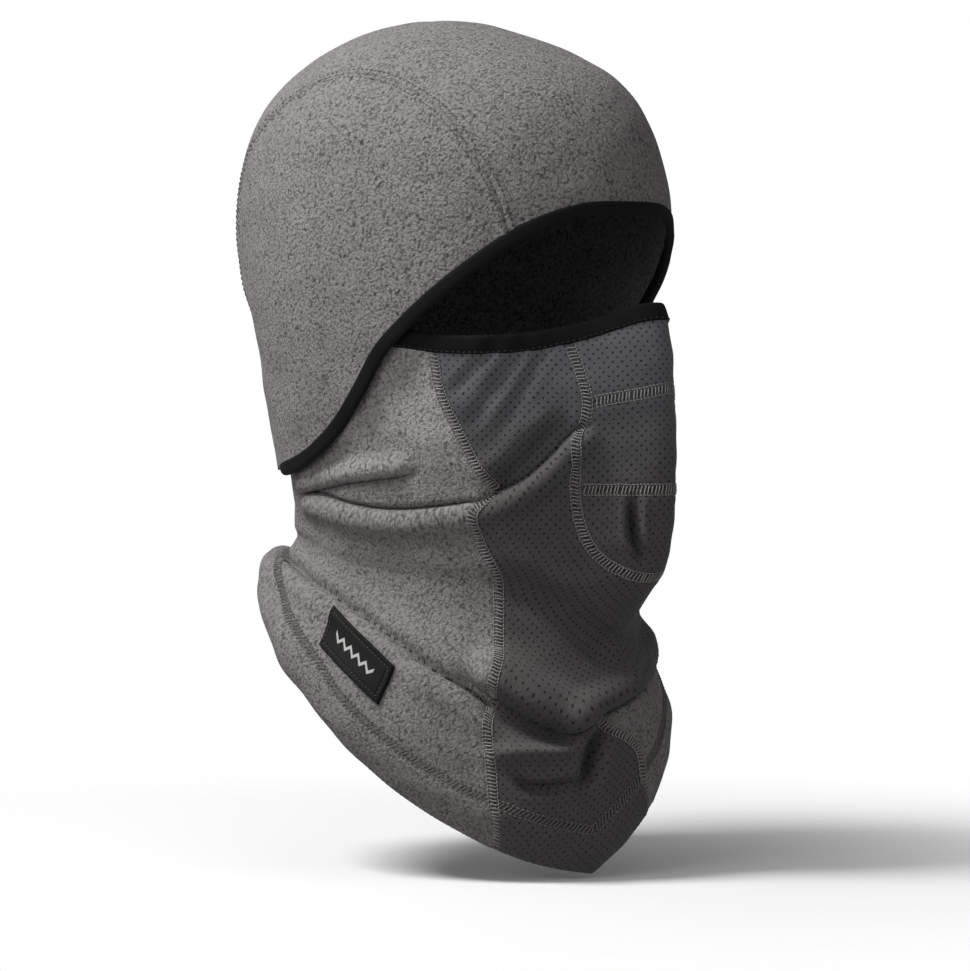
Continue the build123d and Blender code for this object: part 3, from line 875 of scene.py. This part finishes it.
right_seam, left_seam = full_seam(FRONT_RIGHT), full_seam(FRONT_LEFT)
mouth_right_xz = smooth(MOUTH_SIDE)
mouth_cut = cut_to(chart_of_front(mouth_right_xz), mask_row, hem_row)
mirror = np.array([-1.0, 1.0])
mouth_loop = np.vstack([mouth_cut, (mouth_cut * mirror)[::-1][1:]])
back_turn = np.pi
back_right = np.array([[-back_turn, hem_row(-back_turn)], [-back_turn, mask_row(-back_turn)]])
back_left = back_right * mirror


def joined(*lines):
    """A closed outline from lines that follow each other, at an even spacing."""
    parts = [neck_line(line, NECK_SPACING)[:-1] for line in lines]
    return np.vstack(parts)


# Real lengths along the surface, for the knit's pattern
net_turns = np.linspace(-np.pi, np.pi, 361)
net_rows = np.linspace(0, len(NECK_ROWS) - 1, 241)
net = worn(NECK_ROWS, net_turns[None, :], net_rows[:, None])
net_u = np.cumsum(np.linalg.norm(np.diff(net, axis=1, prepend=net[:, :1]), axis=2), axis=1)
net_u -= net_u[:, len(net_turns) // 2][:, None]
net_v = np.cumsum(np.linalg.norm(np.diff(net, axis=0, prepend=net[:1]), axis=2), axis=0)


def surface_lengths(chart):
    """Distance round and down the surface at points of the chart."""
    i = np.interp(chart[:, 1], net_rows, np.arange(len(net_rows)))
    j = np.interp(chart[:, 0], net_turns, np.arange(len(net_turns)))
    i0 = np.clip(i.astype(int), 0, len(net_rows) - 2)
    j0 = np.clip(j.astype(int), 0, len(net_turns) - 2)
    a, b = (i - i0), (j - j0)
    def read(table):
        return (table[i0, j0] * (1 - a) * (1 - b) + table[i0 + 1, j0] * a * (1 - b)
                + table[i0, j0 + 1] * (1 - a) * b + table[i0 + 1, j0 + 1] * a * b)
    return np.stack([read(net_u), -read(net_v)], axis=1)


CHART = np.array([78.0, 18.0])   # makes the turn-and-row chart roughly true to scale
seam_lines = [worn(NECK_ROWS, q[:, 0], q[:, 1]) for q in
              (right_seam, left_seam, mouth_loop)]
hem_line = edge_line(hem_row, -np.pi, np.pi)
hem_real = worn(NECK_ROWS, hem_line[:, 0], hem_line[:, 1])


def neck_panel(name, loop, material, seams, hem=True):
    """One panel of the neck surface, with its folds, seam grooves and turned hem."""
    flat, faces = filled(loop * CHART, NECK_SPACING)
    chart = flat / CHART
    points, normals = neck_at(chart[:, 0], chart[:, 1])
    base, base_normals = neck_base(chart[:, 0], chart[:, 1])
    away = distance_to(base, seams)
    drop = -0.3 * bell(away / 1.6) + 0.25 * bell((away - 4.2) / 1.6)
    if hem:
        edge = distance_to(base, [hem_real])
        drop += 0.5 * np.clip((HEM_DEPTH - edge) / 2.5, 0, 1) - 0.5 * bell((edge - HEM_DEPTH) / 2.0)
        drop -= 1.3 * np.clip(1 - edge / 2.2, 0, 1) ** 2
    points = points + normals * drop[:, None]
    faces = outward(points, faces, normals)
    return shell(name, points, faces, base_normals, NECK_CLOTH, material, base, surface_lengths(chart))


t_right, t_left = right_seam[0, 0], left_seam[0, 0]
hem_right, hem_left = right_seam[-1, 0], left_seam[-1, 0]
mouth_top = mouth_cut[0, 0]

neck_right = neck_panel("neck_panel_right", joined(
    edge_line(mask_row, -back_turn, t_right), right_seam, edge_line(hem_row, hem_right, -back_turn), back_right),
    neck_fleece, seam_lines[:1])
neck_left = neck_panel("neck_panel_left", joined(
    edge_line(mask_row, back_turn, t_left), left_seam, edge_line(hem_row, hem_left, back_turn), back_left),
    neck_fleece, seam_lines[1:2])
front = neck_panel("front_panel", joined(
    edge_line(mask_row, t_right, mouth_top), mouth_loop, edge_line(mask_row, -mouth_top, t_left), left_seam,
    edge_line(hem_row, hem_left, hem_right), right_seam[::-1]), knit, seam_lines)


def mouth_parts():
    """The mouth panel's three pieces and the lines of the two seams across it."""
    upper, lower = smooth(MOUTH_UPPER), smooth(MOUTH_LOWER)
    side = mouth_right_xz
    def meeting(cross):
        gap = side[:, 1] - np.interp(side[:, 0], cross[:, 0], cross[:, 1])
        return int(np.argmax(gap < 0))
    i, j = meeting(upper), meeting(lower)
    def across(cross, x):
        kept = np.linspace(x, -x, 40)
        return chart_of_front(np.stack([kept, np.interp(kept, cross[:, 0], cross[:, 1])], axis=1))
    upper_line, lower_line = across(upper, side[i, 0]), across(lower, side[j, 0])
    right = chart_of_front(side)
    top = cut_to(right[:i + 1], mask_row, hem_row)
    top[-1], middle = upper_line[0], right[i:j + 1].copy()
    middle[0], middle[-1] = upper_line[0], lower_line[0]
    bottom = right[j:].copy()
    bottom[0] = lower_line[0]
    loops = {
        "mouth_panel_upper": [edge_line(mask_row, top[0, 0], -top[0, 0]), top * mirror, upper_line[::-1], top[::-1]],
        "mouth_panel_middle": [upper_line, middle * mirror, lower_line[::-1], middle[::-1]],
        "mouth_panel_lower": [lower_line, bottom * mirror, bottom[::-1]],
    }
    return loops, upper_line, lower_line


mouth_loops, mouth_upper_line, mouth_lower_line = mouth_parts()
mouth_seams = [worn(NECK_ROWS, q[:, 0], q[:, 1]) for q in (mouth_loop, mouth_upper_line, mouth_lower_line)]
mouth_panels = {name: neck_panel(name, joined(*lines), mouth_knit, mouth_seams, hem=False)
                for name, lines in mouth_loops.items()}


# Hood panels: charts of directions from the hood's centre

HOOD_RADIUS = 95.0


def middle_direction(chart):
    """Directions for the strip over the crown: sideways angle and angle from the front, as lengths."""
    side, over = chart[:, 0] / HOOD_RADIUS, chart[:, 1] / HOOD_RADIUS
    return np.stack([np.sin(side), -np.cos(side) * np.cos(over), np.cos(side) * np.sin(over)], axis=1)


def middle_chart(points):
    d = unit(points - HOOD_CENTRE)
    over = np.arctan2(d[:, 2], -d[:, 1])
    over = np.where(over < -np.pi / 2, over + 2 * np.pi, over)
    return np.stack([np.arcsin(d[:, 0]), over], axis=1) * HOOD_RADIUS


def side_direction(chart, side):
    away = np.linalg.norm(chart, axis=1) / HOOD_RADIUS
    ring = np.sin(away) / np.maximum(away * HOOD_RADIUS, 1e-9)
    return np.stack([side * np.cos(away), chart[:, 0] * ring, chart[:, 1] * ring], axis=1)


def side_chart(points, side):
    d = unit(points - HOOD_CENTRE)
    away = np.arccos(np.clip(d[:, 0] * side, -1, 1))
    ring = away * HOOD_RADIUS / np.maximum(np.hypot(d[:, 1], d[:, 2]), 1e-9)
    return d[:, 1:] * ring[:, None]


hood_edge_rows = edge_row(HOOD_ROWS, hood_height, all_turns)
hood_edge_real = worn(HOOD_ROWS, all_turns, hood_edge_rows)


def hood_seam_line():
    """The wearer's right seam of the hood, from the face edge over the top to the nape."""
    curve = smooth(HOOD_SEAM)[::-1]
    padded = np.vstack([2 * HOOD_ROWS[0] - HOOD_ROWS[1], HOOD_ROWS, 2 * HOOD_ROWS[-1] - HOOD_ROWS[-2]])
    s = np.linspace(2, len(HOOD_ROWS) - 1, 4000)
    row = between_rows(padded, s, len(HOOD_ROWS))
    reach = -np.interp(row[:, 0], curve[:, 1], curve[:, 0]) / row[:, 2]
    first = int(np.argmax(reach < 1))
    s, turn = s[first:], np.arcsin(np.clip(reach[first:], 0, 1))
    near = np.stack([-turn, s], axis=1)
    far = np.stack([-(np.pi - turn), s], axis=1)
    limit = lambda t: np.interp(t, all_turns, hood_edge_rows)
    line = np.vstack([near[near[:, 1] < limit(near[:, 0])][::-1], far[far[:, 1] < limit(far[:, 0])]])
    return resampled(worn(HOOD_ROWS, line[:, 0], line[:, 1]), HOOD_SPACING)


seam_right_real = hood_seam_line()
flip = np.array([-1.0, 1.0, 1.0])
seam_left_real = seam_right_real * flip


def hood_edge_between(start, end):
    """The hood's edge from one point on it to another, the way that the turn runs from start to end."""
    real_turn = np.unwrap(np.arctan2(hood_edge_real[:, 0], -hood_edge_real[:, 1]))
    a, b = np.interp([start, end], real_turn, all_turns)
    turns = np.linspace(a, b, 400)
    line = worn(HOOD_ROWS, turns, np.interp(turns, all_turns, hood_edge_rows))
    return resampled(line, HOOD_SPACING)


def hood_panel(name, loop_real, to_chart, to_direction):
    """One fleece panel of the hood."""
    flat, faces = filled(to_chart(loop_real), HOOD_SPACING)
    points, normals = hood_at(to_direction(flat))
    base = hood_base(unit(to_direction(flat)))
    away = distance_to(base, [seam_right_real, seam_left_real])
    edge = distance_to(base, [hood_edge_real])
    drop = 0.8 * bell(away / 3.4) - 1.0 * bell(away / 0.8) - 0.5 * bell((away - 5.0) / 1.8)
    points = points + normals * drop[:, None]
    faces = outward(points, faces, normals)
    return shell(name, points, faces, normals, HOOD_CLOTH, hood_fleece, base, flat)


front_turn = float(np.arctan2(seam_right_real[0, 0], -seam_right_real[0, 1]))
nape_turn = float(np.arctan2(seam_right_real[-1, 0], -seam_right_real[-1, 1]))
middle_loop = np.vstack([
    hood_edge_between(front_turn, -front_turn)[:-1], seam_left_real[:-1],
    np.vstack([hood_edge_between(-nape_turn, np.pi)[:-1], hood_edge_between(-np.pi, nape_turn)[:-1]]),
    seam_right_real[::-1][:-1]])
side_loop = np.vstack([seam_right_real[:-1], hood_edge_between(nape_turn, front_turn)[:-1]])
hood_middle = hood_panel("hood_centre_panel", middle_loop, middle_chart, middle_direction)
hood_right = hood_panel("hood_side_panel_right", side_loop, lambda p: side_chart(p, -1),
                        lambda c: side_direction(c, -1))
hood_left = hood_panel("hood_side_panel_left", (side_loop * flip)[::-1], lambda p: side_chart(p, 1),
                       lambda c: side_direction(c, 1))


# Bindings

def oval(width_power, top, bottom, count=22):
    """The outline of a folded tape: shares of its half width, and heights above the fabric."""
    turn = np.linspace(0, 2 * np.pi, count, endpoint=False)
    c, s = np.cos(turn), np.sin(turn)
    height = (top - bottom) / 2
    return np.stack([np.sign(c) * np.abs(c) ** width_power,
                     (top + bottom) / 2 + height * np.sign(s) * np.abs(s) ** 0.75], axis=1)


def neck_path(chart, step=STRIP_STEP):
    line = neck_line(chart, step)
    return neck_at(line[:, 0], line[:, 1])


def hood_path(real, step=STRIP_STEP):
    return hood_at(resampled(real, step) - HOOD_CENTRE)


def back_limit(rows, edge_rows, reach):
    """The turn at which an edge passes a distance behind the ears."""
    p = worn(rows, all_turns, edge_rows)
    right = (all_turns < 0) & (p[:, 1] < reach)
    return all_turns[right][0]


mask_end = back_limit(NECK_ROWS, mask_rows, 48.0)
mask_path, mask_normals = neck_path(edge_line(mask_row, mask_end, -mask_end))
mask_binding = strip("mask_edge_binding", mask_path, mask_normals, BINDING_WIDTH / 2,
                     oval(0.45, BINDING_PROUD, -NECK_CLOTH - BINDING_UNDER), binding)
hood_end = back_limit(HOOD_ROWS, hood_edge_rows, 50.0)
hood_edge_path = worn(HOOD_ROWS, np.linspace(hood_end, -hood_end, 600),
                      np.interp(np.linspace(hood_end, -hood_end, 600), all_turns, hood_edge_rows))
hood_binding_path, hood_binding_normals = hood_path(hood_edge_path)
hood_binding = strip("hood_edge_binding", hood_binding_path, hood_binding_normals, HOOD_BINDING_WIDTH / 2,
                     oval(0.45, BINDING_PROUD, -HOOD_CLOTH - BINDING_UNDER), binding)


# Stitching

def seam_piece(name, paths, material, lift=0.0, **sizes):
    threads = Threads()
    for k, (path, normals) in enumerate(paths):
        ladder(threads, path, normals, lift=lift, seed=11 + 7 * k, **sizes)
    return threads.piece(name, material)


def shortened(path, start, end):
    return path[0][start:len(path[0]) - end], path[1][start:len(path[1]) - end]


front_right_stitch = seam_piece("front_seam_stitch_right", [shortened(neck_path(right_seam), 3, 1)], pale_thread)
left_heights = worn(NECK_ROWS, left_seam[:, 0], left_seam[:, 1])[:, 2]
left_runs = [left_seam[left_heights > OVERHANG_TOP], left_seam[left_heights < OVERHANG_FOOT]]
front_left_stitch = seam_piece("front_seam_stitch_left", [
    shortened(neck_path(left_runs[0]), 3, 1), shortened(neck_path(left_runs[1]), 1, 1)], pale_thread)
mouth_outline = seam_piece("mouth_outline_stitch", [shortened(neck_path(mouth_loop), 3, 3)], pale_thread)
mouth_upper_stitch = seam_piece("mouth_seam_upper", [shortened(neck_path(mouth_upper_line), 2, 2)], pale_thread,
                                half=2.1)
mouth_lower_stitch = seam_piece("mouth_seam_lower", [shortened(neck_path(mouth_lower_line), 2, 2)], pale_thread,
                                half=2.1)


def rows_of_dashes(name, paths, offsets, material, pitch, radius, lift, share=0.7):
    threads = Threads()
    for k, (path, normals) in enumerate(paths):
        for m, offset in enumerate(offsets):
            dashes(threads, path, normals, pitch, offset, share, radius, lift, seed=31 + 5 * k + m)
    return threads.piece(name, material)


hem_turns = np.linspace(-np.pi + 0.01, np.pi - 0.01, 700)
hem_stitch_chart = np.stack([hem_turns, edge_row(NECK_ROWS, hem_height(HEM_DEPTH), hem_turns)], axis=1)
hem_path, hem_normals = neck_path(hem_stitch_chart)


def hem_stitching():
    """The hem's coverstitch: two sewn rows with a looper thread that zigzags between them."""
    threads = Threads()
    for offset in (-1.8, 1.8):
        dashes(threads, hem_path, hem_normals, 2.2, offset, 0.75, 0.28, 0.05, seed=51)
    rungs(threads, hem_path, hem_normals, 1.9, 1.7, 0.24, -0.1, lean=0.6, seed=53)
    return threads.piece("hem_stitch", grey_thread)


hem_stitch = hem_stitching()
hood_stitch = {}
for side_name, real in (("right", seam_right_real), ("left", seam_left_real)):
    hood_stitch[side_name] = rows_of_dashes("hood_seam_stitch_" + side_name, [hood_path(real[2:-2])],
                                            (-2.3, 2.3), hood_thread, 2.4, 0.26, 0.22)
nape_line = hood_edge_between(nape_turn - 0.25, -np.pi)
nape_right = nape_line + np.array([0, 0, 3.4])
nape_path = hood_path(np.vstack([nape_right, (nape_right * flip)[::-1][1:]]))
nape_stitch = rows_of_dashes("nape_seam_stitch", [nape_path], (-1.6, 1.6), grey_thread, 2.3, 0.3, 0.1)
back_line = chart_at_height(np.full(30, np.pi), np.linspace(-67, -92, 30))
back_stitch = seam_piece("back_seam_stitch", [neck_path(back_line)], grey_thread)
mask_row_path = neck_path(edge_line(mask_row, mask_end, -mask_end))
mask_stitch = rows_of_dashes("mask_binding_stitch", [mask_row_path], (-BINDING_WIDTH / 2 + 1.1,), dark_thread,
                             2.4, 0.2, BINDING_PROUD - 0.1, 0.6)


# Label

def label_chart(u, v):
    """Turn and row of places on the label, given along and across it from its middle."""
    corners = np.array(LABEL_CORNERS, float)
    one, two, three, four = chart_at_height(np.radians(corners[:, 0]), corners[:, 1])
    a, b = (u / LABEL_LENGTH + 0.5)[:, None], (0.5 - v / LABEL_WIDTH)[:, None]
    return (one * (1 - a) + two * a) * (1 - b) + (four * (1 - a) + three * a) * b


def label_lift(chart, shape):
    """How far the label lies off the smooth surface: it bridges the creases and rests on the rolls."""
    base, base_normals = neck_base(chart[:, 0], chart[:, 1])
    fabric = ((neck_worn(chart[:, 0], chart[:, 1]) - base) * base_normals).sum(-1).reshape(shape)
    soft = fabric.copy()
    for _ in range(60):
        wide = np.pad(soft, 1, mode="edge")
        soft = (wide[1:-1, :-2] + wide[1:-1, 2:] + wide[:-2, 1:-1] + wide[2:, 1:-1]) / 4
        soft = np.maximum(soft, 0.3 * fabric + 0.7 * soft)
    return base, base_normals, np.maximum(soft, fabric).ravel()


def label_net(columns=60, rows=30):
    u, v = np.meshgrid(np.linspace(-1, 1, columns), np.linspace(-1, 1, rows))
    u, v = u.ravel() * LABEL_LENGTH / 2, v.ravel() * LABEL_WIDTH / 2
    chart = label_chart(u, v)
    base, normals, lift = label_lift(chart, (rows, columns))
    edge = np.minimum(LABEL_LENGTH / 2 - np.abs(u), LABEL_WIDTH / 2 - np.abs(v))
    puff = 1.7 - 0.5 * bell((edge - 2.2) / 0.6) - 0.8 * np.clip(1 - edge / 1.0, 0, 1) ** 2
    points = base + normals * (lift + puff)[:, None]
    corner = (np.arange(rows - 1)[:, None] * columns + np.arange(columns - 1)).ravel()
    right, below = corner + 1, corner + columns
    faces = np.vstack([np.stack([corner, right, below], axis=1), np.stack([right, below + 1, below], axis=1)])
    return points, normals, outward(points, faces, normals), np.stack([u, v], axis=1)


label_points, label_normals, label_faces, label_uv = label_net()
label = shell("collar_label", label_points, label_faces, label_normals, LABEL_THICK, label_cloth, uv=label_uv)


def label_sewing():
    inset = 2.2
    a, b = LABEL_LENGTH / 2 - inset, LABEL_WIDTH / 2 - inset
    corners = np.array([(-a, -b), (a, -b), (a, b), (-a, b), (-a, -b)], float)
    outline = resampled(corners, 1.0)
    tree = KDTree(len(label_uv))
    for i, place in enumerate(label_uv.tolist()):
        tree.insert((*place, 0), i)
    tree.balance()
    nearest = [tree.find((*place, 0))[1] for place in outline.tolist()]
    path, normals = label_points[nearest], label_normals[nearest]
    return rows_of_dashes("label_stitch", [(path, normals)], (0.0,), label_thread, 1.9, 0.2, 0.05)


label_stitch = label_sewing()


# How each piece moves and what it stands for


def follow(obj, body, blended=False):
    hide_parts(obj.name.removeprefix(WORN))
    if blended:
        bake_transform(obj)
    else:
        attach(obj, body)


for obj in (neck_right, neck_left):
    follow(obj, "collar", blended=True)
follow(front, "collar", blended=True)
for obj in (front_right_stitch, front_left_stitch):
    follow(obj, "collar", blended=True)
follow(mask_binding, "collar", blended=True)
follow(mask_stitch, "collar", blended=True)
follow(hem_stitch, "collar")
follow(back_stitch, "collar")
follow(label, "collar")
follow(label_stitch, "collar")
for obj in mouth_panels.values():
    follow(obj, "mask")
for obj in (mouth_outline, mouth_upper_stitch, mouth_lower_stitch):
    follow(obj, "mask")
for obj in (hood_middle, hood_right, hood_left):
    follow(obj, "hood")
for obj in (*hood_stitch.values(), nape_stitch):
    follow(obj, "hood")
follow(hood_binding, "hood")


# Floor, light and camera

def floor():
    """A white floor that fades into the white surroundings away from the object."""
    material, tree, surface = shader("floor")
    surface.inputs["Base Color"].default_value = (0.95, 0.95, 0.95, 1)
    surface.inputs["Roughness"].default_value = 0.9
    surface.inputs["Specular IOR Level"].default_value = 0.0
    place = put(tree, "TexCoord").outputs["Object"]
    away = put(tree, "VectorMath", {0: place}, operation="LENGTH").outputs["Value"]
    seen = put(tree, "MapRange", {"Value": away, "From Min": 0.5, "From Max": 0.22}, interpolation_type="SMOOTHSTEP")
    tree.links.new(seen.outputs[0], surface.inputs["Alpha"])
    half = 0.6
    z = cad_low.z - 0.0005
    mesh = bpy.data.meshes.new("floor")
    mesh.from_pydata([(-half, -half, z), (half, -half, z), (half, half, z), (-half, half, z)], [], [(0, 1, 2, 3)])
    mesh.materials.append(material)
    obj = bpy.data.objects.new("floor", mesh)
    bpy.context.scene.collection.objects.link(obj)
    obj.visible_diffuse = False


def area_light(name, place, target, size, power, colour=(1, 1, 1)):
    lamp = bpy.data.lights.new(name, "AREA")
    lamp.shape = "RECTANGLE"
    lamp.size, lamp.size_y = size
    lamp.energy = power
    lamp.color = colour
    obj = bpy.data.objects.new(name, lamp)
    obj.location = place
    obj.rotation_euler = (Vector(target) - Vector(place)).to_track_quat("-Z", "Y").to_euler()
    bpy.context.scene.collection.objects.link(obj)
    return obj


AZIMUTH = math.radians(-48.0)
ELEVATION = math.radians(2.0)
DISTANCE = 2.2
LENS = 189.7
AMBIENT = 0.2                # strength of the surroundings as a light; they look white
LOOK_RIGHT = 31 * 0.43 * MM          # how far right of the origin the picture's middle is
LOOK_UP = -165.5 * 0.43 * MM


def camera_axes():
    back = Vector((math.sin(AZIMUTH) * math.cos(ELEVATION), -math.cos(AZIMUTH) * math.cos(ELEVATION),
                   math.sin(ELEVATION)))
    right = Vector((math.cos(AZIMUTH), math.sin(AZIMUTH), 0))
    return right, back.cross(right), back


def studio():
    right, up, back = camera_axes()
    def place(a, b, c):
        return right * a + up * b + back * c
    target = (0, 0, 0.02)
    area_light("key", place(-0.72, 1.05, 0.3), target, (0.5, 0.5), 20)
    area_light("fill_left", place(-1.3, 0.4, 2.0), target, (1.2, 1.5), 13)
    area_light("fill_right", place(2.0, 0.6, 0.9), target, (1.2, 1.5), 4)
    world = bpy.data.worlds.new("studio")
    world.use_nodes = True
    tree = world.node_tree
    sky = tree.nodes["Background"]
    sky.inputs["Color"].default_value = (1, 1, 1, 1)
    backdrop = tree.nodes.new("ShaderNodeLightPath").outputs["Is Camera Ray"]
    strength = maths(tree, "ADD", maths(tree, "MULTIPLY", backdrop, 1 - AMBIENT), AMBIENT)
    tree.links.new(strength, sky.inputs["Strength"])
    bpy.context.scene.world = world


def camera():
    right, up, back = camera_axes()
    data = bpy.data.cameras.new("camera")
    data.lens = LENS
    data.sensor_width = 36
    data.clip_start, data.clip_end = 0.05, 50
    obj = bpy.data.objects.new("camera", data)
    obj.location = right * LOOK_RIGHT + up * LOOK_UP + back * DISTANCE
    obj.rotation_euler = (-back).to_track_quat("-Z", "Y").to_euler()
    bpy.context.scene.collection.objects.link(obj)
    bpy.context.scene.camera = obj


floor()
studio()
camera()
bpy.context.scene.view_settings.view_transform = "Standard"
